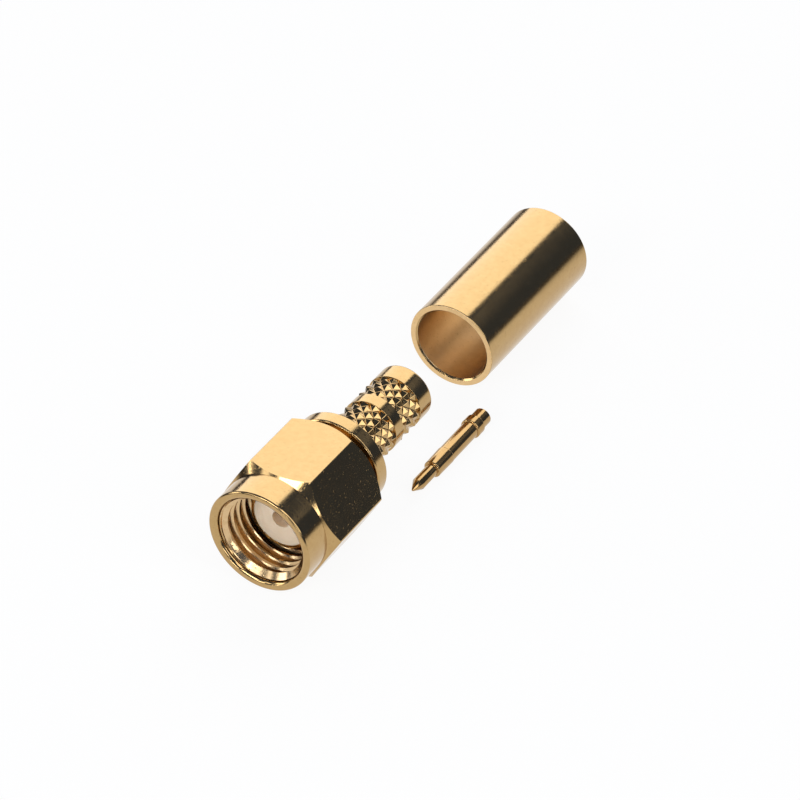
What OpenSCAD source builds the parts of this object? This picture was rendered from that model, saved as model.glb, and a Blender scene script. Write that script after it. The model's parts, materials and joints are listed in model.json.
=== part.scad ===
// Coaxial crimp plug with a threaded coupling nut, its loose centre contact and
// its loose crimp ferrule, lying beside each other on one flat surface.
//
// Millimetres, +Z up. The connector's own axis is the Y axis. The origin is on
// that axis at the mating plane, where the outer contact and the insulator end.
// The mating side faces -Y and the cable leaves towards +Y.
// Everything rests on the plane z = -nut_af / 2.

/* [Coupling nut] */
// Across the flats of the hexagon
nut_af = 8.0; // [7.9:0.05:9.0]
// Length of the whole nut
nut_len = 8.55; // [8.3:0.05:9.5]
// How far the nut's mouth stands in front of the mating plane
nut_reach = 2.7; // [2.5:0.05:3.0]
// Diameter of the round collar in front of the hexagon
collar_d = 7.76; // [7.2:0.02:7.8]
// Length of the round collar, up to the bevel of the hexagon
collar_len = 2.2; // [1.5:0.05:3.0]
// Radius of the rounded edge around the mouth
collar_edge_r = 0.16; // [0.05:0.01:0.25]
// Slope of the bevel in front of the hexagon, from the end plane
front_bevel_deg = 39; // [25:1:50]
// Slope of the bevel behind the hexagon, from the end plane
rear_bevel_deg = 45; // [25:1:50]
// Diameter of the nut's flat rear face
rear_face_d = 7.8; // [7.2:0.02:7.9]
// Diameter of the unthreaded bore just inside the mouth
mouth_bore_d = 6.45; // [6.36:0.01:6.8]
// Depth of that bore
mouth_bore_len = 0.75; // [0.4:0.05:1.2]
// Width of the bevel around that bore
mouth_bevel = 0.22; // [0.1:0.01:0.3]
// Diameter over the crests of the internal thread
thread_minor_d = 5.7; // [5.64:0.01:5.74]
// Length of the internal thread
thread_len = 3.85; // [3.2:0.05:4.1]
// Diameter of the clear bore behind the thread
relief_bore_d = 6.5; // [6.4:0.02:6.8]
// Length of that clear bore
relief_bore_len = 1.0; // [0.8:0.05:1.1]
// Wall of the nut between the clear bore and the ring groove
ring_wall = 0.95; // [0.5:0.05:1.1]
// Diameter of the groove that holds the ring in the nut
nut_groove_d = 6.4; // [6.3:0.02:6.6]

/* [Retaining ring] */
// Outer diameter of the split ring
ring_od = 6.12; // [6.02:0.01:6.18]
// Thickness of the ring along the axis
ring_t = 0.5; // [0.4:0.05:0.6]
// Angle that the split leaves open
ring_split_deg = 40; // [20:5:70]
// Diameter at the bottom of the groove in the body
ring_seat_d = 4.72; // [4.7:0.02:4.9]

/* [Body] */
// Diameter of the outer contact sleeve
sleeve_d = 4.58; // [4.54:0.01:4.6]
// Bore of the outer contact sleeve, which holds the insulator
sleeve_bore_d = 4.12; // [4.08:0.01:4.16]
// Bare length of the outer contact sleeve
sleeve_len = 2.1; // [1.8:0.05:2.3]
// Bevel on the sleeve's front edge
sleeve_bevel = 0.06; // [0.02:0.01:0.1]
// Diameter of the land that carries the gasket
land_d = 4.94; // [4.9:0.01:5.0]
// Diameter of the barrel that the nut turns on
barrel_d = 5.44; // [5.3:0.02:5.5]
// Diameter of the shoulder behind the nut
shoulder_d = 7.0; // [6.4:0.05:7.6]
// Length of the shoulder
shoulder_len = 1.1; // [0.8:0.05:2.0]
// Bevel on both edges of the shoulder
shoulder_bevel = 0.1; // [0.02:0.01:0.2]
// Room between the nut and the shoulder
shoulder_gap = 0.75; // [0.3:0.05:1.0]

/* [Crimp stem] */
// Diameter of the plain stretches of the stem
stem_d = 4.16; // [4.0:0.02:4.5]
// Bore of the stem, for the cable's own insulation
stem_bore_d = 3.06; // [2.9:0.02:3.1]
// Radius of the rounded rear edge
stem_edge_r = 0.2; // [0.1:0.02:0.25]
// Bevel inside the rear end of the bore
stem_bore_bevel = 0.15; // [0.05:0.01:0.2]
// Plain length between the shoulder and the front knurl
stem_neck = 0.86; // [0.3:0.02:1.5]
// Plain length between the two knurls
knurl_gap = 0.92; // [0.4:0.02:1.5]
// Plain length behind the rear knurl
stem_tail = 1.53; // [1.0:0.01:2.5]
// Diamonds around the stem
knurl_count = 14; // [12:1:18]
// Half of a diamond's length along the axis
half_diamond_len = 0.44; // [0.36:0.01:0.5]
// Half diamonds along the front knurl
front_knurl_rows = 6; // [4:1:8]
// Half diamonds along the rear knurl
rear_knurl_rows = 5; // [4:1:8]
// Height of the diamonds' points over the plain stem
knurl_rise = 0.1; // [0.05:0.01:0.15]
// Depth of the crossings of the grooves below the plain stem
knurl_depth = 0.16; // [0.08:0.01:0.2]
// Turn of the knurl about the axis
knurl_turn_deg = 13; // [0:1:30]

/* [Insulator and gasket] */
// Length of the insulator
insulator_len = 5.05; // [4.8:0.05:5.2]
// Thickness of the gasket along the axis
gasket_t = 0.8; // [0.6:0.05:0.9]
// Thickness of the gasket's wall
gasket_wall = 0.24; // [0.2:0.01:0.26]

/* [Centre contact] */
// Diameter of the pin that enters the socket
pin_d = 0.92; // [0.9:0.01:0.94]
// Length of the pin, with its point
pin_len = 2.55; // [2.2:0.05:2.8]
// Length of the point
pin_point_len = 0.82; // [0.5:0.02:1.0]
// Diameter of the rounded nose of the point
pin_nose_d = 0.2; // [0.1:0.02:0.3]
// Diameter of the contact inside the insulator
contact_d = 1.27; // [1.24:0.01:1.3]
// Bevel on the contact's front edge
contact_bevel = 0.07; // [0.02:0.01:0.1]
// Length of the slow swell that grips the insulator
barb_len = 1.8; // [1.0:0.1:2.5]
// Height of that swell
barb_rise = 0.03; // [0.01:0.005:0.04]
// Diameter of the bead that stops the contact
bead_d = 1.5; // [1.45:0.01:1.7]
// Length of the bead
bead_len = 0.78; // [0.5:0.02:1.0]
// Length of the solder cup behind the bead
cup_len = 0.97; // [0.8:0.02:2.0]
// Bore of the solder cup
cup_bore_d = 0.95; // [0.93:0.01:1.02]
// Depth of the solder cup's bore
cup_bore_len = 2.3; // [1.5:0.1:3.5]

/* [Crimp ferrule] */
// Outer diameter of the ferrule
ferrule_od = 6.5; // [6.3:0.05:6.7]
// Inner diameter of the ferrule
ferrule_id = 5.46; // [5.3:0.02:5.6]
// Length of the ferrule
ferrule_len = 13.2; // [10:0.1:18]
// Bevel on the ferrule's inner edges
ferrule_bevel = 0.14; // [0.05:0.01:0.2]
// Radius of the ferrule's outer edges
ferrule_edge_r = 0.08; // [0.02:0.01:0.15]

/* [Places of the loose pieces] */
// Room between the stem's end and the ferrule
ferrule_gap_y = 6.62; // [4:0.02:12]
// Sideways place of the ferrule
ferrule_x = -0.39; // [-2:0.01:2]
// Room between the nut's rear face and the contact's point
contact_gap_y = 4.5; // [3.5:0.05:7]
// Sideways place of the contact
contact_x = 3.82; // [3.6:0.01:7]

/* [Fits] */
// Radial room in which the nut turns on the barrel
spin_clearance = 0.08; // [0.05:0.01:0.1]
// Room on each side of the retaining ring in the body's groove
ring_side_clearance = 0.05; // [0.03:0.01:0.08]
// Further room on each side of the ring in the nut's groove
nut_groove_clearance = 0.05; // [0.03:0.01:0.1]
// Radial room between the ring and the bottom of the body's groove
ring_seat_clearance = 0.05; // [0.03:0.01:0.08]
// Radial room around the insulator
insulator_clearance = 0.01; // [0.005:0.005:0.02]
// Radial room between the gasket and its land
gasket_clearance = 0.04; // [0.02:0.01:0.06]
// Radial room around the contact in the insulator
contact_clearance = 0.01; // [0.005:0.005:0.02]

/* [Hidden] */
$fn = 96;

// Overlap that makes a cutter or a joined solid pass its neighbour's face.
lap = 0.05;

// Heights and places that follow from the sizes above.
floor_z = -nut_af / 2;
hex_corner_r = nut_af / 2 / cos(30);
nut_front_y = -nut_reach;
nut_rear_y = nut_front_y + nut_len;
collar_end_y = nut_front_y + collar_len;
front_corner_y = collar_end_y + tan(front_bevel_deg) * (hex_corner_r - collar_d / 2);
rear_corner_y = nut_rear_y - tan(rear_bevel_deg) * (hex_corner_r - rear_face_d / 2);
thread_front_y = nut_front_y + mouth_bore_len;
thread_rear_y = thread_front_y + thread_len;
relief_end_y = thread_rear_y + relief_bore_len;
nut_groove_y = relief_end_y + ring_wall;
ring_y = nut_groove_y + nut_groove_clearance + ring_side_clearance;
nut_groove_w = ring_t + 2 * (ring_side_clearance + nut_groove_clearance);
barrel_y = sleeve_len + gasket_t;
shoulder_y = nut_rear_y + shoulder_gap;
stem_y = shoulder_y + shoulder_len;
front_knurl_y = stem_y + stem_neck;
front_knurl_end_y = front_knurl_y + front_knurl_rows * half_diamond_len;
rear_knurl_y = front_knurl_end_y + knurl_gap;
rear_knurl_end_y = rear_knurl_y + rear_knurl_rows * half_diamond_len;
stem_end_y = rear_knurl_end_y + stem_tail;
knurl_core_r = stem_d / 2 - knurl_depth - lap;

// Colours of the metals and of the soft pieces.
gold = "#d8b25e";
deep_gold = "#b98f45";
white_plastic = "#efe9dd";
red_rubber = "#7c3326";

// ---------------------------------------------------------------- helpers

// Stands a solid that was turned about +Z on the Y axis, with z becoming y.
module along_y() {
    rotate([-90, 0, 0]) children();
}

// A turned solid from an outline of [radius, place along the axis] points.
module turned(outline) {
    along_y() rotate_extrude() polygon(outline);
}

// Points on a rounded edge, from angle a0 to a1 about the centre [r, y].
function edge_arc(r, y, radius, a0, a1, steps = 5) =
    [for (i = [0 : steps])
        let (a = a0 + (a1 - a0) * i / steps)
        [r + radius * cos(a), y + radius * sin(a)]];

// --------------------------------------------------------------- the nut

// The hexagon, with its corners bevelled at both ends.
module nut_hexagon() {
    front_r = collar_d / 2;
    intersection() {
        translate([0, collar_end_y, 0])
            along_y() cylinder(h = nut_rear_y - collar_end_y, r = hex_corner_r, $fn = 6);
        turned([
            [0, collar_end_y],
            [front_r, collar_end_y],
            [hex_corner_r, front_corner_y],
            [hex_corner_r + lap, front_corner_y],
            [hex_corner_r + lap, rear_corner_y],
            [hex_corner_r, rear_corner_y],
            [rear_face_d / 2, nut_rear_y],
            [0, nut_rear_y]
        ]);
    }
}

// The round collar that carries the mouth.
module nut_collar() {
    r = collar_d / 2;
    turned(concat(
        [[0, nut_front_y]],
        edge_arc(r - collar_edge_r, nut_front_y + collar_edge_r, collar_edge_r, -90, 0),
        [[r, collar_end_y + lap], [0, collar_end_y + lap]]
    ));
}

// Everything that is bored out of the nut, from the mouth to the rear.
module nut_bores() {
    mouth_r = mouth_bore_d / 2;
    thread_r = thread_minor_d / 2;
    relief_r = relief_bore_d / 2;
    rear_r = barrel_d / 2 + spin_clearance;
    groove_r = nut_groove_d / 2;
    lead = mouth_r - thread_r;
    turned([
        [0, nut_front_y - lap],
        [mouth_r + mouth_bevel + lap, nut_front_y - lap],
        [mouth_r, nut_front_y + mouth_bevel],
        [mouth_r, thread_front_y - lead],
        [thread_r, thread_front_y],
        [thread_r, thread_rear_y],
        [relief_r, thread_rear_y],
        [relief_r, relief_end_y],
        [rear_r, relief_end_y],
        [rear_r, nut_groove_y],
        [groove_r, nut_groove_y],
        [groove_r, nut_groove_y + nut_groove_w],
        [rear_r, nut_groove_y + nut_groove_w],
        [rear_r, nut_rear_y + lap],
        [0, nut_rear_y + lap]
    ]);
}

module coupling_nut() {
    color(gold) difference() {
        union() {
            nut_hexagon();
            nut_collar();
        }
        nut_bores();
    }
}

// ---------------------------------------------- retaining ring and gasket

// A flat split ring. It sits in the body's groove and reaches into the nut's.
module retaining_ring() {
    outer_r = ring_od / 2;
    inner_r = ring_seat_d / 2 + ring_seat_clearance;
    color(deep_gold) difference() {
        turned([
            [inner_r, ring_y],
            [outer_r, ring_y],
            [outer_r, ring_y + ring_t],
            [inner_r, ring_y + ring_t]
        ]);
        translate([0, ring_y - lap, 0]) along_y()
            linear_extrude(height = ring_t + 2 * lap)
                polygon([
                    [0, 0],
                    2 * outer_r * [sin(ring_split_deg / 2), cos(ring_split_deg / 2)],
                    2 * outer_r * [-sin(ring_split_deg / 2), cos(ring_split_deg / 2)]
                ]);
    }
}

// A square-cut soft ring that seats against the barrel's front face.
module gasket() {
    inner_r = land_d / 2 + gasket_clearance;
    outer_r = inner_r + gasket_wall;
    color(red_rubber) turned([
        [inner_r, sleeve_len],
        [outer_r, sleeve_len],
        [outer_r, barrel_y],
        [inner_r, barrel_y]
    ]);
}

// -------------------------------------------------------------- the body

// One band of diamond knurl about +Z, from z = 0. Its points lie on a grid of
// half diamonds: diamond points and groove crossings take turns along and around.
// At both ends it dives below the plain stem, which covers its flat ends.
module knurl_band(rows) {
    columns = 2 * knurl_count;
    plain_r = stem_d / 2;
    point_r = plain_r + knurl_rise;
    crossing_r = plain_r - knurl_depth;
    end_point_r = plain_r - insulator_clearance;
    is_point = function (row, column) (row + column) % 2 == 1;
    radius = function (row, column)
        !is_point(row, column) ? crossing_r
        : row == 0 || row == rows ? end_point_r
        : point_r;
    ring = function (r_of, z)
        [for (column = [0 : columns - 1])
            let (a = 180 * column / knurl_count, r = r_of(column))
            [r * cos(a), r * sin(a), z]];
    core = function (column) knurl_core_r;
    points = concat(
        ring(core, -lap),
        [for (row = [0 : rows])
            each ring(function (column) radius(row, column), row * half_diamond_len)],
        ring(core, rows * half_diamond_len + lap)
    );
    at = function (level, column) level * columns + column % columns;
    // Each grid square is folded along the groove between its two crossings.
    square = function (level, column)
        let (
            a = at(level, column),
            b = at(level, column + 1),
            c = at(level + 1, column + 1),
            d = at(level + 1, column)
        )
        is_point(level - 1, column) ? [[a, d, b], [b, d, c]] : [[a, d, c], [a, c, b]];
    faces = concat(
        [[for (column = [0 : columns - 1]) column]],
        [for (level = [0 : rows + 1], column = [0 : columns - 1])
            each square(level, column)],
        [[for (column = [columns - 1 : -1 : 0]) at(rows + 2, column)]]
    );
    polyhedron(points = points, faces = faces, convexity = 4);
}

// Places a knurl band on the stem, with its front end at y.
module knurl_at(y, rows) {
    translate([0, y, 0]) along_y()
        rotate([0, 0, -knurl_turn_deg]) knurl_band(rows);
}

// The turned outside of the body, left thinner where the knurls go.
module body_turning() {
    sleeve_r = sleeve_d / 2;
    barrel_r = barrel_d / 2;
    shoulder_r = shoulder_d / 2;
    stem_r = stem_d / 2;
    seat_r = ring_seat_d / 2;
    seat_front_y = ring_y - ring_side_clearance;
    seat_rear_y = ring_y + ring_t + ring_side_clearance;
    turned(concat(
        [
            [0, 0],
            [sleeve_r - sleeve_bevel, 0],
            [sleeve_r, sleeve_bevel],
            [sleeve_r, sleeve_len],
            [land_d / 2, sleeve_len],
            [land_d / 2, barrel_y],
            [barrel_r, barrel_y],
            [barrel_r, seat_front_y],
            [seat_r, seat_front_y],
            [seat_r, seat_rear_y],
            [barrel_r, seat_rear_y],
            [barrel_r, shoulder_y],
            [shoulder_r - shoulder_bevel, shoulder_y],
            [shoulder_r, shoulder_y + shoulder_bevel],
            [shoulder_r, stem_y - shoulder_bevel],
            [shoulder_r - shoulder_bevel, stem_y],
            [stem_r, stem_y],
            [stem_r, front_knurl_y],
            [knurl_core_r, front_knurl_y],
            [knurl_core_r, front_knurl_end_y],
            [stem_r, front_knurl_end_y],
            [stem_r, rear_knurl_y],
            [knurl_core_r, rear_knurl_y],
            [knurl_core_r, rear_knurl_end_y],
            [stem_r, rear_knurl_end_y]
        ],
        edge_arc(stem_r - stem_edge_r, stem_end_y - stem_edge_r, stem_edge_r, 0, 90),
        [[0, stem_end_y]]
    ));
}

// The insulator's seat in front, and the cable's bore behind it.
module body_bores() {
    seat_r = sleeve_bore_d / 2;
    bore_r = stem_bore_d / 2;
    turned([
        [0, -lap],
        [seat_r, -lap],
        [seat_r, insulator_len],
        [bore_r, insulator_len],
        [bore_r, stem_end_y - stem_bore_bevel],
        [bore_r + stem_bore_bevel + lap, stem_end_y + lap],
        [0, stem_end_y + lap]
    ]);
}

module connector_body() {
    color(gold) difference() {
        union() {
            body_turning();
            knurl_at(front_knurl_y, front_knurl_rows);
            knurl_at(rear_knurl_y, rear_knurl_rows);
        }
        body_bores();
    }
}

// ------------------------------------------------------------- insulator

module insulator() {
    outer_r = sleeve_bore_d / 2 - insulator_clearance;
    bore_r = contact_d / 2 + contact_clearance;
    color(white_plastic) turned([
        [bore_r, 0],
        [outer_r, 0],
        [outer_r, insulator_len],
        [bore_r, insulator_len]
    ]);
}

// -------------------------------------------------------- centre contact

// The contact about the Y axis, with its point at y = 0. Its front edge lies
// on the mating plane once the bead stops against the insulator.
module contact_turning() {
    pin_r = pin_d / 2;
    nose_r = pin_nose_d / 2;
    main_r = contact_d / 2;
    bead_r = bead_d / 2;
    bead_y = pin_len + insulator_len;
    cup_y = bead_y + bead_len;
    end_y = cup_y + cup_len;
    bead_edge = (bead_r - main_r) * 0.8;
    turned(concat(
        [[0, 0]],
        edge_arc(0, nose_r, nose_r, -60, -20, 3),
        [
            [pin_r, pin_point_len],
            [pin_r, pin_len],
            [main_r - contact_bevel, pin_len],
            [main_r, pin_len + contact_bevel],
            [main_r + barb_rise, pin_len + barb_len],
            [main_r, pin_len + barb_len + barb_rise],
            [main_r, bead_y]
        ],
        edge_arc(bead_r - bead_edge, bead_y + bead_edge, bead_edge, -70, 0, 4),
        edge_arc(bead_r - bead_edge, cup_y - bead_edge, bead_edge, 0, 70, 4),
        [
            [main_r, cup_y],
            [main_r, end_y - contact_bevel],
            [main_r - contact_bevel, end_y],
            [0, end_y]
        ]
    ));
}

module contact_bore() {
    bore_r = cup_bore_d / 2;
    end_y = pin_len + insulator_len + bead_len + cup_len;
    // The drill's point has the usual slope.
    turned([
        [0, end_y - cup_bore_len - bore_r * tan(31)],
        [bore_r, end_y - cup_bore_len],
        [bore_r, end_y + lap],
        [0, end_y + lap]
    ]);
}

module centre_contact() {
    color(gold)
        translate([contact_x, nut_rear_y + contact_gap_y, floor_z + bead_d / 2])
            difference() {
                contact_turning();
                contact_bore();
            }
}

// --------------------------------------------------------- crimp ferrule

module crimp_ferrule() {
    outer_r = ferrule_od / 2;
    inner_r = ferrule_id / 2;
    edge = ferrule_edge_r;
    color(gold)
        translate([ferrule_x, stem_end_y + ferrule_gap_y, floor_z + outer_r])
            turned(concat(
                [[inner_r, ferrule_bevel], [inner_r + ferrule_bevel, 0]],
                edge_arc(outer_r - edge, edge, edge, -90, 0, 3),
                edge_arc(outer_r - edge, ferrule_len - edge, edge, 0, 90, 3),
                [
                    [inner_r + ferrule_bevel, ferrule_len],
                    [inner_r, ferrule_len - ferrule_bevel]
                ]
            ));
}

coupling_nut();
retaining_ring();
gasket();
connector_body();
insulator();
centre_contact();
crimp_ferrule();
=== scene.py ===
# %% [markdown]
# # A gold-plated coaxial crimp plug, with its loose contact and ferrule
#
# This notebook dresses a finished CAD model. The CAD frame already says where each piece
# is and how the coupling nut turns, so the work here is what a camera sees: rounded edges
# that catch light, the thread inside the nut, the knurl's small flats, and metals that
# look plated, turned and handled. The finished scene is in metres.

# %% Load the CAD frame
import json
import math

import bpy
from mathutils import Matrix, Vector

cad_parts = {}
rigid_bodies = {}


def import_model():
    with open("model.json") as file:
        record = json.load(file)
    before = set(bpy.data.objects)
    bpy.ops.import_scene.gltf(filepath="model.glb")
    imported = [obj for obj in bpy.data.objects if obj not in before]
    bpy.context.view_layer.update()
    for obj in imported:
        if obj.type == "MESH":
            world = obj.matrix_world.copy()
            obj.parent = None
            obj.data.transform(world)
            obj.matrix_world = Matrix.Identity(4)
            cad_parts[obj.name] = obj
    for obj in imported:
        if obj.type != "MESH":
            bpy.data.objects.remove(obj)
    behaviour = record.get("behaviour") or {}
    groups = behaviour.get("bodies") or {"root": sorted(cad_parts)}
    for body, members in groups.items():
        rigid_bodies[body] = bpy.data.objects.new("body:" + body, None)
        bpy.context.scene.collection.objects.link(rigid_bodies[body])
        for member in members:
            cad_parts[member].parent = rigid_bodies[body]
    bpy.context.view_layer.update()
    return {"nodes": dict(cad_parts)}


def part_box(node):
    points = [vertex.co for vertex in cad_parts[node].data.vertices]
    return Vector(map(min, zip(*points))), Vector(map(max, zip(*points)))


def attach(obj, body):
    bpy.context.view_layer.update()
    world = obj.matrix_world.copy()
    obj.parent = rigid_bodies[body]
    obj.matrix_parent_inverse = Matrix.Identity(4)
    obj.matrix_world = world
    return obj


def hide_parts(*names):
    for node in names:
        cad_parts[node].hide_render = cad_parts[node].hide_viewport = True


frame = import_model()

print("CAD nodes:", sorted(frame["nodes"]))

# %% [markdown]
# ## The camera
#
# The pieces are small, so they are seen through a long lens from a third of a metre away.
# The camera looks at a target point near the middle of the layout. `back` points from the
# target to the camera, and to_track_quat aims the camera's own -Z axis at the target.

# %% Camera
MM = 0.001
azimuth = math.radians(31.196)
elevation = math.radians(38.57)
camera_distance = 0.330
target = Vector((0.197, 14.75, 0.0)) * MM
back = Vector((
    math.sin(azimuth) * math.cos(elevation),
    -math.cos(azimuth) * math.cos(elevation),
    math.sin(elevation),
))
camera_data = bpy.data.cameras.new("camera")
camera_data.sensor_width = 36.0
camera_data.lens = 220.35
camera_data.clip_start = 0.01
camera_data.clip_end = 20.0
camera = bpy.data.objects.new("camera", camera_data)
bpy.context.scene.collection.objects.link(camera)
camera.location = target + back * camera_distance
camera.rotation_euler = back.to_track_quat("Z", "Y").to_euler()
bpy.context.scene.camera = camera
print("camera at", [round(v, 4) for v in camera.location])

# %% [markdown]
# ## Sizes
#
# The frame's boxes give each piece's place and its overall size. The few sizes that boxes
# don't show, such as the depth of a groove, are named beside the piece that uses them.
# Modelling is done in millimetres, and each finished mesh is then scaled to metres.

# %% Sizes from the frame
def box_mm(node):
    low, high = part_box(node)
    return low / MM, high / MM


nut_low, nut_high = box_mm("coupling_nut")
body_high = box_mm("connector_body")[1]
contact_low, contact_high = box_mm("centre_contact")
ferrule_low, ferrule_high = box_mm("crimp_ferrule")
hex_flat_r = nut_high.z
hex_corner_r = nut_high.x
print(f"hexagon {2 * hex_flat_r:.2f} mm over the flats, {2 * hex_corner_r:.2f} over the corners")

# %% [markdown]
# ## Helpers for turned pieces
#
# Most pieces were made on a lathe. On screen a lathe is the spin operator: half of the
# cross-section is drawn as a line of points, and spun a full turn about the Y axis. The
# line starts as a plane merged to one vertex, and each further point is one extrusion.
# The doubles that a full spin leaves on the axis and at the seam are then merged.

# %% Lathe helpers
def deselect_all():
    if bpy.context.object and bpy.context.object.mode != "OBJECT":
        bpy.ops.object.mode_set(mode="OBJECT")
    bpy.ops.object.select_all(action="DESELECT")


def activate(piece):
    deselect_all()
    piece.select_set(True)
    bpy.context.view_layer.objects.active = piece


def drawn_line(name, outline):
    """Draws an outline of (radius, y) points as a line of edges in the XY plane."""
    deselect_all()
    bpy.ops.mesh.primitive_plane_add(size=1)
    piece = bpy.context.object
    piece.name = name
    bpy.ops.object.mode_set(mode="EDIT")
    bpy.ops.mesh.merge(type="CENTER")
    x, y = outline[0]
    bpy.ops.transform.translate(value=(x, y, 0))
    for radius, place in outline[1:]:
        step = (radius - x, place - y, 0)
        bpy.ops.mesh.extrude_vertices_move(TRANSFORM_OT_translate={"value": step})
        x, y = radius, place
    bpy.ops.mesh.select_all(action="SELECT")
    return piece


merge_distance = 0.001


def spun(name, outline, steps=144):
    """Spins an outline about the Y axis into a closed solid."""
    piece = drawn_line(name, outline)
    bpy.ops.mesh.spin(steps=steps, angle=2 * math.pi, center=(0, 0, 0), axis=(0, 1, 0))
    bpy.ops.mesh.select_all(action="SELECT")
    bpy.ops.mesh.remove_doubles(threshold=merge_distance)
    bpy.ops.mesh.normals_make_consistent(inside=False)
    bpy.ops.object.mode_set(mode="OBJECT")
    return piece


def arc(radius, place, edge, start, end, steps=6):
    """Points on a rounded edge about (radius, place), from one angle to another."""
    angles = [math.radians(start + (end - start) * i / steps) for i in range(steps + 1)]
    return [(radius + edge * math.cos(a), place + edge * math.sin(a)) for a in angles]


print("lathe helpers ready, and a quarter round has", len(arc(0, 0, 1, 0, 90)), "points")

# %% [markdown]
# ## Helpers for cutting, rounding and finishing
#
# Cuts are booleans, applied at once, so each piece ends as one plain mesh. No real edge is
# perfectly sharp, so a narrow bevel rounds it, and that thin strip is what glints.
#
# Shading comes last. Edges that turn by more than 30 degrees stay sharp, and so does the
# border of every large flat, because a flat shows any bent normal as a false reflection.
# The weighted normals are worked out before the mesh is scaled down: in metres its faces
# are too small for that modifier to tell apart.

# %% Cutting and finishing helpers
sharp_above = math.radians(30)
large_flat_area = 1.0
large_flat_corners = 6


def combine(piece, tool, operation):
    """Applies a boolean with a tool, and removes the tool."""
    activate(piece)
    modifier = piece.modifiers.new("combine", "BOOLEAN")
    modifier.operation = operation
    modifier.solver = "EXACT"
    modifier.object = tool
    bpy.ops.object.modifier_apply(modifier=modifier.name)
    bpy.data.objects.remove(tool)


def soften(piece, width, angle, segments=3):
    """Rounds the edges that turn by more than an angle, so that they catch the light."""
    activate(piece)
    modifier = piece.modifiers.new("soften", "BEVEL")
    modifier.width = width
    modifier.segments = segments
    modifier.limit_method = "ANGLE"
    modifier.angle_limit = math.radians(angle)
    bpy.ops.object.modifier_apply(modifier=modifier.name)


def shade(piece):
    """Smooths the rounded faces and keeps the large flats truly flat."""
    activate(piece)
    bpy.ops.object.shade_smooth_by_angle(angle=sharp_above)
    flats = [
        face for face in piece.data.polygons
        if face.area > large_flat_area and len(face.vertices) > large_flat_corners
    ]
    around_flats = {key for face in flats for key in face.edge_keys}
    for edge in piece.data.edges:
        if edge.key in around_flats:
            edge.use_edge_sharp = True
    shading = piece.modifiers.new("shading", "WEIGHTED_NORMAL")
    shading.keep_sharp = True
    bpy.ops.object.modifier_apply(modifier=shading.name)


def finished(piece, body, slot, *nodes, place=(0, 0, 0)):
    """Shades a piece, moves it to its place in metres, and hangs it on its body."""
    shade(piece)
    piece.location = Vector(place) * MM
    piece.scale = (MM, MM, MM)
    bpy.ops.object.transform_apply(location=True, rotation=True, scale=True)
    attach(piece, body)
    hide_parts(*nodes)
    low, high = piece.bound_box[0], piece.bound_box[6]
    size = [round((b - a) / MM, 2) for a, b in zip(low, high)]
    print(f"{piece.name}: {len(piece.data.polygons)} faces, {size} mm")


print("edges that turn by more than", round(math.degrees(sharp_above)), "degrees stay sharp")

# %% [markdown]
# ## The coupling nut, outside
#
# The nut is turned from hexagonal bar. The lathe cuts the round collar in front and
# bevels the corners at both ends, and where a cone meets six flats it leaves the curved
# edges that every nut has. So the nut is made the same way: a six-sided cylinder, with
# its long edges rounded, is intersected with a spun blank, and the curves come out by
# themselves. The bar is longer than the blank, so only the blank shapes the ends.

# %% Hexagonal bar
bar_spare = 2.0
bar_edge = 0.08

deselect_all()
bpy.ops.mesh.primitive_cylinder_add(
    vertices=6,
    radius=hex_corner_r,
    depth=nut_high.y - nut_low.y + bar_spare,
    location=(0, (nut_low.y + nut_high.y) / 2, 0),
    rotation=(math.radians(90), math.radians(30), 0),
)
threaded_nut = bpy.context.object
threaded_nut.name = "threaded_nut"
bpy.ops.object.transform_apply(location=True, rotation=True, scale=True)
soften(threaded_nut, bar_edge, angle=30, segments=4)
print("hexagonal bar:", len(threaded_nut.data.polygons), "faces")

# %% Collar and bevelled ends
collar_r = 3.88
collar_len = 2.2
collar_edge = 0.16
front_bevel_len = 0.60
rear_face_r = 3.90
clear_of_bar = 0.1
collar_end = nut_low.y + collar_len
front_corner = collar_end + front_bevel_len
rear_corner = nut_high.y - (hex_corner_r - rear_face_r)

blank = spun("blank", [
    (0, nut_low.y),
    *arc(collar_r - collar_edge, nut_low.y + collar_edge, collar_edge, -90, 0),
    (collar_r, collar_end),
    (hex_corner_r, front_corner),
    (hex_corner_r + clear_of_bar, front_corner),
    (hex_corner_r + clear_of_bar, rear_corner),
    (hex_corner_r, rear_corner),
    (rear_face_r, nut_high.y),
    (0, nut_high.y),
])
combine(threaded_nut, blank, "INTERSECT")
print("outside of the nut:", len(threaded_nut.data.polygons), "faces")

# %% [markdown]
# ## The coupling nut, inside
#
# All the bores are one spun cutter, drawn from the mouth to the rear: a well rounded lip,
# a short wall, the cone that leads a jack into the thread, the thread's own inner
# diameter, the relief behind it, the bore that runs on the body, and the ring's groove.

# %% Bores
mouth_r = 3.24
lip_edge = 0.34
thread_minor_r = 2.85
thread_setback = 0.75
thread_len = 3.85
relief_r = 3.25
relief_len = 1.0
barrel_bore_r = 2.80
groove_r = 3.2
groove_setback = 0.95
groove_len = 0.7
overshoot = 1.0

thread_front = nut_low.y + thread_setback
thread_rear = thread_front + thread_len
relief_end = thread_rear + relief_len
groove_front = relief_end + groove_setback
groove_rear = groove_front + groove_len
lead_in_start = thread_front - (mouth_r - thread_minor_r)

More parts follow.
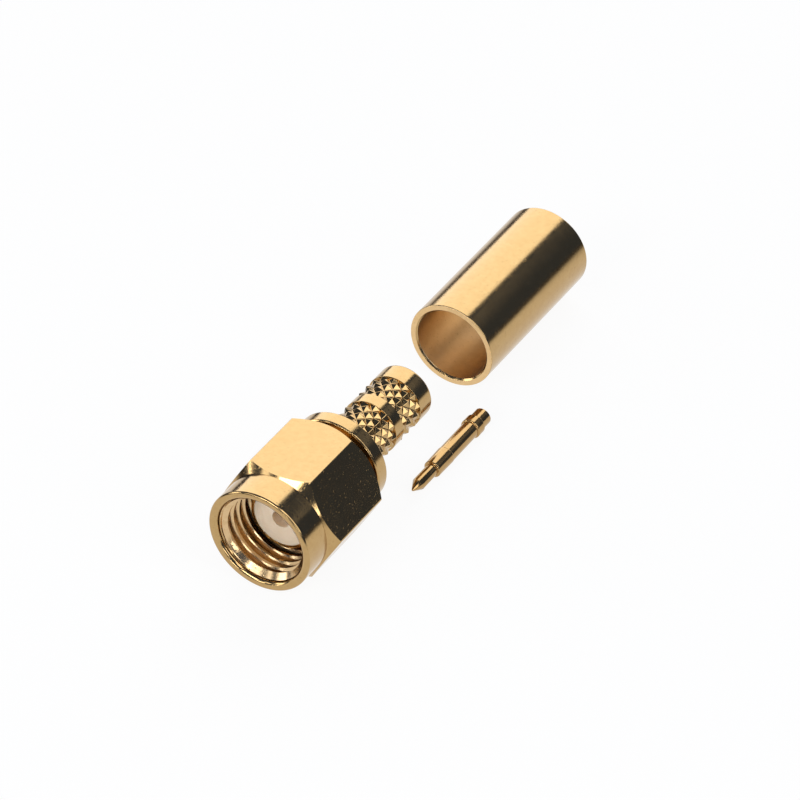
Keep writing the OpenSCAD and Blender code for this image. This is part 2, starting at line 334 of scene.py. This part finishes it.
bores = spun("bores", [
    (0, nut_low.y - overshoot),
    (mouth_r + lip_edge, nut_low.y - overshoot),
    *arc(mouth_r + lip_edge, nut_low.y + lip_edge, lip_edge, -92, -175),
    (mouth_r, lead_in_start),
    (thread_minor_r, thread_front),
    (thread_minor_r, thread_rear),
    (relief_r, thread_rear),
    (relief_r, relief_end),
    (barrel_bore_r, relief_end),
    (barrel_bore_r, groove_front),
    (groove_r, groove_front),
    (groove_r, groove_rear),
    (barrel_bore_r, groove_rear),
    (barrel_bore_r, nut_high.y + overshoot),
    (0, nut_high.y + overshoot),
])
combine(threaded_nut, bores, "DIFFERENCE")
print("nut with its bores:", len(threaded_nut.data.polygons), "faces")

# %% [markdown]
# ## The thread
#
# A thread is one tooth swept along a helix. The screw modifier does that, one pitch for
# each turn, and gives the surface of a long screw. Cut square and capped at both ends
# with bisect, the screw is a solid like a tap, and subtracting it leaves the thread in
# the nut's wall, with run-outs like those that a real tap leaves.

# %% Tap
thread_major_r = 3.19
inch = 25.4
threads_per_inch = 36
thread_pitch = inch / threads_per_inch
thread_turns = 8
flank_angle = math.radians(30)
lead_pitches = 1.5
run_in = 0.45
run_out = 0.06
overlap = 0.01

tap_front = thread_front - run_in
tap_rear = thread_rear + run_out
crest = thread_pitch / 4
flank = (thread_major_r - thread_minor_r) * math.tan(flank_angle)
inner_r = thread_minor_r - overlap

tap = drawn_line("tap", [
    (inner_r, 0),
    (inner_r, crest),
    (thread_major_r, crest + flank),
    (thread_major_r, thread_pitch - flank),
    (inner_r, thread_pitch),
])
bpy.ops.object.mode_set(mode="OBJECT")
helix = tap.modifiers.new("helix", "SCREW")
helix.axis = "Y"
helix.screw_offset = thread_pitch
helix.iterations = thread_turns
helix.steps = 90
helix.render_steps = 90
helix.use_merge_vertices = True
helix.merge_threshold = merge_distance
helix.use_smooth_shade = False
activate(tap)
bpy.ops.object.modifier_apply(modifier="helix")
tap.location.y = thread_front - lead_pitches * thread_pitch
bpy.ops.object.transform_apply(location=True, rotation=True, scale=True)
print(f"tap: {thread_turns} turns of {thread_pitch:.3f} mm")

# %% Cut the thread
bpy.ops.object.mode_set(mode="EDIT")
for end, clear_front in ((tap_front, True), (tap_rear, False)):
    bpy.ops.mesh.select_all(action="SELECT")
    bpy.ops.mesh.bisect(
        plane_co=(0, end, 0),
        plane_no=(0, 1, 0),
        use_fill=True,
        clear_inner=clear_front,
        clear_outer=not clear_front,
    )
bpy.ops.mesh.select_all(action="SELECT")
bpy.ops.mesh.normals_make_consistent(inside=False)
bpy.ops.object.mode_set(mode="OBJECT")
combine(threaded_nut, tap, "DIFFERENCE")
finished(threaded_nut, "nut", "nut_plating", "coupling_nut")

# %% [markdown]
# ## The body
#
# One lathe piece runs from the outer contact, deep in the nut, to the end of the crimp
# stem. Its outline is drawn once, outside and bore together, and spun. Where the two bands
# of knurl go, the outline dips below the surface to make room for them.

# %% Sizes of the front of the body
sleeve_r = 2.29
sleeve_bore_r = 2.06
sleeve_end = 2.1
land_r = 2.47
barrel_front = 2.9
barrel_r = 2.72
ring_seat_front = 3.9
ring_seat_rear = 4.5
ring_seat_r = 2.36
seat_depth = 5.05
print(f"outer contact {2 * sleeve_r:.2f} mm over a {2 * sleeve_bore_r:.2f} mm seat")

# %% Sizes of the rear of the body
barrel_shown = 0.75
shoulder_len = 1.1
shoulder_bevel = 0.1
shoulder_r = body_high.z
shoulder_front = nut_high.y + barrel_shown
shoulder_rear = shoulder_front + shoulder_len
stem_r = 2.08
stem_bore_r = 1.53
stem_edge = 0.2
stem_end = body_high.y
body_edge = 0.03

knurl_count = 14
knurl_step = 0.44
knurl_depth = 0.16
front_rows = 6
rear_rows = 5
plain_before_knurl = 0.86
plain_between = 0.92
front_knurl = shoulder_rear + plain_before_knurl
front_knurl_end = front_knurl + front_rows * knurl_step
rear_knurl = front_knurl_end + plain_between
rear_knurl_end = rear_knurl + rear_rows * knurl_step
core_clearance = 0.05
core_r = stem_r - knurl_depth - core_clearance
print(f"knurl from {front_knurl:.2f} to {front_knurl_end:.2f}, {rear_knurl:.2f} to {rear_knurl_end:.2f}")

# %% Body
turned_body = spun("turned_body", [
    (sleeve_bore_r, 0),
    (sleeve_r, 0),
    (sleeve_r, sleeve_end),
    (land_r, sleeve_end),
    (land_r, barrel_front),
    (barrel_r, barrel_front),
    (barrel_r, ring_seat_front),
    (ring_seat_r, ring_seat_front),
    (ring_seat_r, ring_seat_rear),
    (barrel_r, ring_seat_rear),
    (barrel_r, shoulder_front),
    (shoulder_r - shoulder_bevel, shoulder_front),
    (shoulder_r, shoulder_front + shoulder_bevel),
    (shoulder_r, shoulder_rear - shoulder_bevel),
    (shoulder_r - shoulder_bevel, shoulder_rear),
    (stem_r, shoulder_rear),
    (stem_r, front_knurl),
    (core_r, front_knurl),
    (core_r, front_knurl_end),
    (stem_r, front_knurl_end),
    (stem_r, rear_knurl),
    (core_r, rear_knurl),
    (core_r, rear_knurl_end),
    (stem_r, rear_knurl_end),
    *arc(stem_r - stem_edge, stem_end - stem_edge, stem_edge, 0, 90),
    (stem_bore_r, stem_end),
    (stem_bore_r, seat_depth),
    (sleeve_bore_r, seat_depth),
    (sleeve_bore_r, 0),
])
soften(turned_body, body_edge, angle=30)
print("turned body:", len(turned_body.data.polygons), "faces")

# %% [markdown]
# ## The diamond knurl
#
# A knurling tool rolls two sets of slanting grooves into the stem, and what is left
# between them is a field of small pyramids. A spun grid of squares holds the pattern:
# every second corner is pulled out to be a point, and the others stay where two grooves
# cross. Each square is then folded along its shorter diagonal, which joins two crossings,
# so the folds are the grooves. The points stand a little above the plain stem, as rolled
# metal rises, and less so in the first and last rows, where the tool runs out.

# %% Knurl
point_r = stem_r + 0.05
end_point_r = stem_r + 0.02
crossing_r = stem_r - knurl_depth
inside_r = core_r - 0.1
knurl_turn = math.radians(13)
knurl_edge = 0.025
near = 0.01


def select_points(band, place, row):
    """Selects every second corner of one row of the grid, taking turns from row to row."""
    activate(band)
    bpy.ops.object.mode_set(mode="EDIT")
    bpy.ops.mesh.select_all(action="DESELECT")
    bpy.ops.object.mode_set(mode="OBJECT")
    for vertex in band.data.vertices:
        radius = math.hypot(vertex.co.x, vertex.co.z)
        angle = math.atan2(vertex.co.z, vertex.co.x)
        column = round(angle * knurl_count / math.pi)
        on_row = abs(vertex.co.y - place) < near
        on_grid = abs(radius - crossing_r) < near
        vertex.select = on_row and on_grid and (row + column) % 2 == 1
    bpy.ops.object.mode_set(mode="EDIT")


def knurl_band(name, front, rows):
    """A spun sleeve of pyramids. It is closed, and its inside lies within the stem."""
    places = [front + row * knurl_step for row in range(rows + 1)]
    band = spun(name, [
        (inside_r, front),
        *[(crossing_r, place) for place in places],
        (inside_r, places[-1]),
        (inside_r, front),
    ], steps=2 * knurl_count)
    for row, place in enumerate(places):
        select_points(band, place, row)
        scale = (end_point_r if row in (0, rows) else point_r) / crossing_r
        bpy.ops.transform.resize(value=(scale, 1, scale), center_override=(0, 0, 0))
    bpy.ops.mesh.select_all(action="SELECT")
    bpy.ops.mesh.quads_convert_to_tris(quad_method="SHORTEST_DIAGONAL")
    bpy.ops.object.mode_set(mode="OBJECT")
    band.rotation_euler.y = -knurl_turn
    bpy.ops.object.transform_apply(location=True, rotation=True, scale=True)
    soften(band, knurl_edge, angle=20, segments=2)
    print(f"{name}: {len(band.data.polygons)} faces")
    return band


front_band = knurl_band("front_band", front_knurl, front_rows)
rear_band = knurl_band("rear_band", rear_knurl, rear_rows)

# %% Join the bands to the body
activate(turned_body)
front_band.select_set(True)
rear_band.select_set(True)
bpy.ops.object.join()
finished(turned_body, "root", "body_plating", "connector_body")

# %% [markdown]
# ## The loose pieces
#
# The centre contact and the ferrule lie beside the plug, parallel to it. Both are turned,
# so both are spun about the Y axis first and then moved to where the frame has them.

# %% Sizes of the centre contact
pin_r = 0.46
pin_len = 2.55
tip_r = 0.1
taper_len = 0.82
contact_r = 0.635
step_bevel = 0.07
barb_rise = 0.03
barb_place = 1.8
bead_r = (contact_high.x - contact_low.x) / 2
bead_len = 0.78
bead_edge = 0.09
cup_r = 0.475
cup_depth = 2.3
cup_bevel = 0.05
drill_slope = math.tan(math.radians(31))
contact_edge = 0.02

contact_tip = contact_low.y
contact_end = contact_high.y
pin_end = contact_tip + pin_len
barb = pin_end + barb_place
bead_front = pin_end + seat_depth
bead_rear = bead_front + bead_len
print(f"centre contact: {contact_end - contact_tip:.2f} mm long, {2 * bead_r:.2f} over its bead")

# %% Centre contact
pin_contact = spun("pin_contact", [
    (0, contact_tip),
    *arc(0, contact_tip + tip_r, tip_r, -70, -25, 3),
    (pin_r, contact_tip + taper_len),
    (pin_r, pin_end),
    (contact_r - step_bevel, pin_end),
    (contact_r, pin_end + step_bevel),
    (contact_r + barb_rise, barb),
    (contact_r, barb + barb_rise),
    (contact_r, bead_front),
    *arc(bead_r - bead_edge, bead_front + bead_edge, bead_edge, -80, 0, 4),
    *arc(bead_r - bead_edge, bead_rear - bead_edge, bead_edge, 0, 80, 4),
    (contact_r, bead_rear),
    (contact_r, contact_end - cup_bevel),
    (contact_r - cup_bevel, contact_end),
    (cup_r, contact_end),
    (cup_r, contact_end - cup_depth),
    (0, contact_end - cup_depth - cup_r * drill_slope),
], steps=96)
soften(pin_contact, contact_edge, angle=35)
contact_axis = ((contact_low.x + contact_high.x) / 2, 0, (contact_low.z + contact_high.z) / 2)
finished(pin_contact, "root", "contact_plating", "centre_contact", place=contact_axis)

# %% Crimp ferrule
ferrule_r = (ferrule_high.x - ferrule_low.x) / 2
ferrule_bore_r = 2.73
bore_bevel = 0.14
rim_edge = 0.08
ferrule_edge = 0.03

crimp_tube = spun("crimp_tube", [
    (ferrule_bore_r, ferrule_low.y + bore_bevel),
    (ferrule_bore_r + bore_bevel, ferrule_low.y),
    *arc(ferrule_r - rim_edge, ferrule_low.y + rim_edge, rim_edge, -90, 0, 4),
    *arc(ferrule_r - rim_edge, ferrule_high.y - rim_edge, rim_edge, 0, 90, 4),
    (ferrule_bore_r + bore_bevel, ferrule_high.y),
    (ferrule_bore_r, ferrule_high.y - bore_bevel),
    (ferrule_bore_r, ferrule_low.y + bore_bevel),
])
soften(crimp_tube, ferrule_edge, angle=35)
ferrule_axis = ((ferrule_low.x + ferrule_high.x) / 2, 0, (ferrule_low.z + ferrule_high.z) / 2)
finished(crimp_tube, "root", "ferrule_plating", "crimp_ferrule", place=ferrule_axis)

# %% [markdown]
# ## Nodes for the materials
#
# Every material is built from a few small helpers. `noise` makes a pattern in object
# coordinates, and its scale says how many features fit in a millimetre along X, Y and Z.
# `spread` turns a pattern into a range of values, `ramp` turns it into a colour, and
# `bump` turns it into a height. Most of a noise lies between 0.3 and 0.7, so that is the
# range which is stretched unless another one is given.

# %% Material helpers
usual_noise = (0.3, 0.7)


def noise(nodes, links, scale, detail=4.0, rough=0.55):
    """A noise pattern with its own scale along each axis, in features for each millimetre."""
    place = nodes.new("ShaderNodeTexCoord")
    mapping = nodes.new("ShaderNodeMapping")
    mapping.inputs["Scale"].default_value = [s / MM for s in scale]
    links.new(place.outputs["Object"], mapping.inputs["Vector"])
    texture = nodes.new("ShaderNodeTexNoise")
    texture.inputs["Scale"].default_value = 1.0
    texture.inputs["Detail"].default_value = detail
    texture.inputs["Roughness"].default_value = rough
    links.new(mapping.outputs["Vector"], texture.inputs["Vector"])
    return texture.outputs["Fac"]


def spread(nodes, links, value, low, high, source=usual_noise):
    """Maps a noise to a range of values."""
    node = nodes.new("ShaderNodeMapRange")
    node.inputs["From Min"].default_value = source[0]
    node.inputs["From Max"].default_value = source[1]
    node.inputs["To Min"].default_value = low
    node.inputs["To Max"].default_value = high
    links.new(value, node.inputs["Value"])
    return node.outputs["Result"]


def bump(nodes, links, height, depth, normal=None):
    """Turns a height into a bump of a given depth in millimetres."""
    node = nodes.new("ShaderNodeBump")
    node.inputs["Strength"].default_value = 1.0
    node.inputs["Distance"].default_value = depth * MM
    links.new(height, node.inputs["Height"])
    if normal:
        links.new(normal, node.inputs["Normal"])
    return node.outputs["Normal"]


def ramp(nodes, links, value, first, second):
    """Turns a noise into a colour between two others."""
    node = nodes.new("ShaderNodeValToRGB")
    node.color_ramp.elements[0].position = usual_noise[0]
    node.color_ramp.elements[0].color = (*first, 1)
    node.color_ramp.elements[1].position = usual_noise[1]
    node.color_ramp.elements[1].color = (*second, 1)
    links.new(value, node.inputs["Fac"])
    return node.outputs["Color"]


print("material helpers ready")

# %% [markdown]
# ## Plated metal
#
# Gold plating is a thin skin over machined brass, so it shows what the machine left. One
# function makes every metal here from five patterns:
#
# - patches shift the colour between two golds;
# - specks are small spots, where the colour is darker and the surface is slightly sunk;
# - smudges change the roughness, as handling does;
# - the grain is a fine bump all over;
# - the feed is a bump squeezed along the axis and stretched across it, as a lathe's feed
#   marks are.

# %% Metal
patch_scale = (2.2, 2.2, 2.2)
speck_scale = (6.5, 6.5, 6.5)
smudge_scale = (1.2, 1.2, 1.2)
grain_scale = (8, 8, 8)
feed_scale = (0.25, 14, 0.25)
speck_colour = (0.25, 0.14, 0.05, 1)
speck_tint = 0.35
speck_tint_range = (0.66, 0.78)
speck_dent_range = (0.66, 0.76)


def plated(name, pale, deep, roughness, grain, feed, dents=0.002):
    """A plated metal. Grain, feed and dents are the depths of its bumps, in millimetres."""
    material = bpy.data.materials.new(name)
    material.use_nodes = True
    nodes = material.node_tree.nodes
    links = material.node_tree.links
    shader = nodes["Principled BSDF"]
    shader.inputs["Metallic"].default_value = 1.0

    patches = noise(nodes, links, patch_scale, detail=6.0, rough=0.7)
    gold = ramp(nodes, links, patches, pale, deep)
    specks = noise(nodes, links, speck_scale, detail=1.0)
    tint = spread(nodes, links, specks, 0.0, speck_tint, speck_tint_range)
    speckled = nodes.new("ShaderNodeMix")
    speckled.data_type = "RGBA"
    speckled.inputs["B"].default_value = speck_colour
    links.new(tint, speckled.inputs["Factor"])
    links.new(gold, speckled.inputs["A"])
    links.new(speckled.outputs["Result"], shader.inputs["Base Color"])

    smudges = noise(nodes, links, smudge_scale, detail=6.0, rough=0.6)
    links.new(spread(nodes, links, smudges, *roughness), shader.inputs["Roughness"])

    grain_height = noise(nodes, links, grain_scale, detail=3.0)
    feed_height = noise(nodes, links, feed_scale, detail=2.0)
    speck_height = spread(nodes, links, specks, 1.0, 0.0, speck_dent_range)
    grained = bump(nodes, links, grain_height, grain)
    turned = bump(nodes, links, feed_height, feed, grained)
    dented = bump(nodes, links, speck_height, dents, turned)
    links.new(dented, shader.inputs["Normal"])
    return material


pale_gold = (0.52, 0.35, 0.155)
deep_gold = (0.48, 0.31, 0.13)
nut_gold = plated(
    "nut_gold", pale_gold, deep_gold, (0.10, 0.16), grain=0.002, feed=0.0012, dents=0.0035
)
body_gold = plated(
    "body_gold", pale_gold, deep_gold, (0.12, 0.18), grain=0.0012, feed=0.0006
)
contact_gold = plated(
    "contact_gold", (0.47, 0.30, 0.125), (0.43, 0.265, 0.105), (0.12, 0.18),
    grain=0.0003, feed=0.0004, dents=0.0006,
)
ferrule_gold = plated(
    "ferrule_gold", pale_gold, deep_gold, (0.13, 0.19), grain=0.0016, feed=0.0012
)
# The bore of the ferrule is painted much paler than the outside gold. That is painted light: it stands
# in for light bouncing about inside the tube. Its higher roughness is a real drilled finish.
painted_bright_bore_gold = plated(
    "painted_bright_bore_gold", (0.82, 0.63, 0.41), (0.74, 0.55, 0.33), (0.30, 0.38),
    grain=0.0004, feed=0.0006,
)
# The cut ends are rougher, as a cut face is. They are also painted paler than the outside gold, and that
# is painted brightness standing in for the light that the rough ends catch.
sawn_gold_painted_bright = plated(
    "sawn_gold_painted_bright", (0.82, 0.57, 0.29), (0.74, 0.50, 0.24), (0.35, 0.42),
    grain=0.001, feed=0.001,
)
# The thread inside the nut is painted paler than the outside gold. That is painted light: it stands in
# for light bouncing about inside the bore.
painted_bright_thread_gold = plated(
    "painted_bright_thread_gold", (0.70, 0.50, 0.28), (0.62, 0.42, 0.21), (0.15, 0.22),
    grain=0.001, feed=0.001,
)
spring_bronze = plated(
    "spring_bronze", (0.42, 0.24, 0.12), (0.33, 0.17, 0.08), (0.3, 0.45),
    grain=0.003, feed=0.0005,
)
print("metals:", sorted(m.name for m in bpy.data.materials if "gold" in m.name or "bronze" in m.name))

# %% [markdown]
# ## Dressing the metal pieces
#
# A piece can hold several finishes, and each face says which of them it wears. The sawn
# ends of the ferrule and the insides of the ferrule and the nut are duller than the polished
# outsides. They are also painted paler, and that paler colour is painted light: it stands in
# for the light bouncing about inside the bores and the light that the rough ends catch.
# Their faces are picked by the way they look.

# %% Dress the metal
ends_above = 0.8
inwards_above = 0.2
bore_margin = 0.01


def dress(piece, material):
    piece.data.materials.clear()
    piece.data.materials.append(material)


def add_finish(piece, material):
    """Adds a second material to a piece, and returns its number."""
    piece.data.materials.append(material)
    return len(piece.data.materials) - 1


def dress_ends(piece, material):
    """Gives a second material to the faces that look forwards or backwards along Y."""
    finish = add_finish(piece, material)
    for face in piece.data.polygons:
        if abs(face.normal.y) > ends_above:
            face.material_index = finish


def dress_inside(piece, material, axis, bore_r):
    """Gives a second material to the faces of a bore that look towards an axis along Y."""
    finish = add_finish(piece, material)
    for face in piece.data.polygons:
        x = face.center.x - axis[0] * MM
        z = face.center.z - axis[2] * MM
        radius = math.hypot(x, z)
        looks_in = face.normal.x * x + face.normal.z * z < -inwards_above * radius
        if looks_in and radius < (bore_r + bore_margin) * MM:
            face.material_index = finish


dress(threaded_nut, nut_gold)
dress(turned_body, body_gold)
dress(pin_contact, contact_gold)
dress(crimp_tube, ferrule_gold)
dress(frame["nodes"]["retaining_ring"], spring_bronze)
# The paler finishes given here are painted light on the cut ends and inside the bores.
dress_ends(crimp_tube, sawn_gold_painted_bright)
dress_inside(crimp_tube, painted_bright_bore_gold, ferrule_axis, ferrule_bore_r)
dress_inside(threaded_nut, painted_bright_thread_gold, (0, 0, 0), thread_major_r)
print("finishes of the ferrule:", [m.name for m in crimp_tube.data.materials])

# %% [markdown]
# ## The soft materials
#
# The insulator is a waxy white fluoropolymer: light enters it a little way and comes out
# softened, which a small subsurface scale gives. Its colour is a warm cream rather than
# white, and that warmth is painted reflected light: it stands in for the light that the
# gold walls around it throw on it. A faint noise breaks up its gloss. The gasket is
# silicone, dull and dark red, and is hardly ever seen.

# %% Insulator and gasket
wax_depth = 0.3
wax_tint = (1.0, 0.9, 0.8)
cloud_scale = (1.5, 1.5, 1.5)
mould_grain_scale = (12, 12, 12)


def moulded(name, colour_a, colour_b, roughness, depth, waxy=0.0):
    """A moulded plastic or rubber. Depth is that of its grain, in millimetres."""
    material = bpy.data.materials.new(name)
    material.use_nodes = True
    nodes = material.node_tree.nodes
    links = material.node_tree.links
    shader = nodes["Principled BSDF"]
    shader.inputs["Subsurface Weight"].default_value = waxy
    shader.inputs["Subsurface Radius"].default_value = wax_tint
    shader.inputs["Subsurface Scale"].default_value = wax_depth * MM
    clouds = noise(nodes, links, cloud_scale)
    links.new(ramp(nodes, links, clouds, colour_a, colour_b), shader.inputs["Base Color"])
    links.new(spread(nodes, links, clouds, *roughness), shader.inputs["Roughness"])
    grain = noise(nodes, links, mould_grain_scale)
    links.new(bump(nodes, links, grain, depth), shader.inputs["Normal"])
    return material


# The insulator's warm cream colour is painted reflected light from the gold around it.
fluoropolymer = moulded(
    "fluoropolymer", (0.93, 0.77, 0.58), (0.90, 0.73, 0.53), (0.4, 0.5), 0.002, waxy=0.5
)
silicone = moulded("silicone", (0.30, 0.06, 0.035), (0.22, 0.04, 0.025), (0.45, 0.6), 0.006)
dress(frame["nodes"]["insulator"], fluoropolymer)
dress(frame["nodes"]["gasket"], silicone)
print("insulator and gasket dressed")

# %% [markdown]
# ## The floor
#
# Everything lies on a sheet of white paper. The camera should see it as plain white and
# still see the shadows on it, so most of its colour is a glow that only some kinds of ray
# see, and the rest is ordinary diffuse paper. Light Path tells the kinds of ray apart.
#
# Polished metal mirrors that paper too. For mirrored rays it fades with distance, from
# white beside the pieces to nearly black further out, so that polished sides have
# something dark to show.

# %% Floor
floor_size = 6
deselect_all()
bpy.ops.mesh.primitive_plane_add(size=floor_size, location=(0, 0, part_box("coupling_nut")[0].z))
floor = bpy.context.object
floor.name = "floor"
bpy.ops.object.transform_apply(location=True, rotation=True, scale=True)

# %% Paper
white = (1, 1, 1, 1)
far_tone = (0.06, 0.06, 0.07, 1)
fade_start = 0.030
fade_end = 0.065
glow_share = 0.92

paper = bpy.data.materials.new("paper")
paper.use_nodes = True
nodes = paper.node_tree.nodes
links = paper.node_tree.links
nodes.clear()
rays = nodes.new("ShaderNodeLightPath")

place = nodes.new("ShaderNodeTexCoord")
distance = nodes.new("ShaderNodeVectorMath")
distance.operation = "DISTANCE"
distance.inputs[1].default_value = (0, target.y, 0)
fade = nodes.new("ShaderNodeValToRGB")
fade.color_ramp.elements[0].position = fade_start
fade.color_ramp.elements[0].color = white
fade.color_ramp.elements[1].position = fade_end
fade.color_ramp.elements[1].color = far_tone
tone = nodes.new("ShaderNodeMix")
tone.data_type = "RGBA"
tone.inputs["A"].default_value = white
links.new(place.outputs["Object"], distance.inputs[0])
links.new(distance.outputs["Value"], fade.inputs["Fac"])
links.new(rays.outputs["Is Glossy Ray"], tone.inputs["Factor"])
links.new(fade.outputs["Color"], tone.inputs["B"])

camera_or_glossy = nodes.new("ShaderNodeMath")
camera_or_glossy.operation = "MAXIMUM"
or_through_glass = nodes.new("ShaderNodeMath")
or_through_glass.operation = "MAXIMUM"
share = nodes.new("ShaderNodeMath")
share.operation = "MULTIPLY"
share.inputs[1].default_value = glow_share
links.new(rays.outputs["Is Camera Ray"], camera_or_glossy.inputs[0])
links.new(rays.outputs["Is Glossy Ray"], camera_or_glossy.inputs[1])
links.new(camera_or_glossy.outputs[0], or_through_glass.inputs[0])
links.new(rays.outputs["Is Transmission Ray"], or_through_glass.inputs[1])
links.new(or_through_glass.outputs[0], share.inputs[0])

sheet = nodes.new("ShaderNodeBsdfDiffuse")
glow = nodes.new("ShaderNodeEmission")
glow.inputs["Strength"].default_value = 1.0
mix = nodes.new("ShaderNodeMixShader")
output = nodes.new("ShaderNodeOutputMaterial")
links.new(tone.outputs["Result"], sheet.inputs["Color"])
links.new(tone.outputs["Result"], glow.inputs["Color"])
links.new(share.outputs[0], mix.inputs["Fac"])
links.new(sheet.outputs["BSDF"], mix.inputs[1])
links.new(glow.outputs["Emission"], mix.inputs[2])
links.new(mix.outputs["Shader"], output.inputs["Surface"])
dress(floor, paper)
print("paper:", len(nodes), "nodes")

# %% [markdown]
# ## The studio
#
# Polished metal shows its surroundings, so the studio is part of the finish. A big soft
# panel stands behind and to the left, and gives the broad bright band along each piece.
# Smaller panels stand above, in front and at the sides. Each makes one patch of light,
# and the dark, bluish room between them makes the dark bands. The sharp borders between
# the two are what makes metal read as metal. Two of the panels face the nut's mouth and
# light the thread inside it.
#
# A direction points from the pieces to the panel, and sizes are in metres. `radiance` is
# how bright the panel looks, where 1 is white.

# %% Panels
def panel(name, towards, width, height, radiance, distance=0.6):
    """A soft rectangular lamp in one direction from the pieces, facing them."""
    lamp = bpy.data.lights.new(name, "AREA")
    lamp.shape = "RECTANGLE"
    lamp.size = width
    lamp.size_y = height
    lamp.energy = radiance * math.pi * width * height
    holder = bpy.data.objects.new(name, lamp)
    bpy.context.scene.collection.objects.link(holder)
    direction = Vector(towards).normalized()
    holder.location = direction * distance
    holder.rotation_euler = direction.to_track_quat("Z", "Y").to_euler()
    return holder


back_panel = panel("back_panel", (0, 1, 0), 1.05, 0.95, 2.0, distance=0.5)
back_panel.location = (-0.42, 0.5, 0.515)
panel("upper_panel", (-0.12, -0.82, 0.56), 0.28, 0.14, 8.5)
panel("upper_left_panel", (-0.62, -0.64, 0.46), 0.10, 0.22, 2.0)
panel("top_panel", (0.40, -0.46, 0.79), 0.20, 0.16, 3.0)
panel("overhead_panel", (0.74, -0.02, 0.66), 0.30, 0.60, 2.6)
panel("left_panel", (-0.89, -0.34, 0.27), 0.16, 0.2, 4.0)
panel("right_panel", (0.57, -0.80, 0.16), 0.10, 0.2, 4.0)
panel("front_panel", (0.10, -0.99, 0.09), 0.14, 0.09, 5.0)
panel("thread_panel", (-0.42, -0.86, 0.28), 0.12, 0.09, 7.0)
panel("thread_side_panel", (-0.77, -0.63, 0.08), 0.14, 0.07, 5.0)
streak_panel = panel("streak_panel", (0.507, 0.669, 0.544), 0.03, 0.30, 0.25)
streak_panel.rotation_euler.rotate_axis("Z", math.radians(-45))
print("panels:", sorted(lamp.name for lamp in bpy.data.lights))

# %% Room
room_colour = (0.050, 0.068, 0.118, 1)
room = bpy.data.worlds.new("room")
bpy.context.scene.world = room
room.use_nodes = True
room.node_tree.nodes["Background"].inputs["Color"].default_value = room_colour
room.node_tree.nodes["Background"].inputs["Strength"].default_value = 1.0
bpy.context.scene.view_settings.view_transform = "Standard"
print("view transform:", bpy.context.scene.view_settings.view_transform)
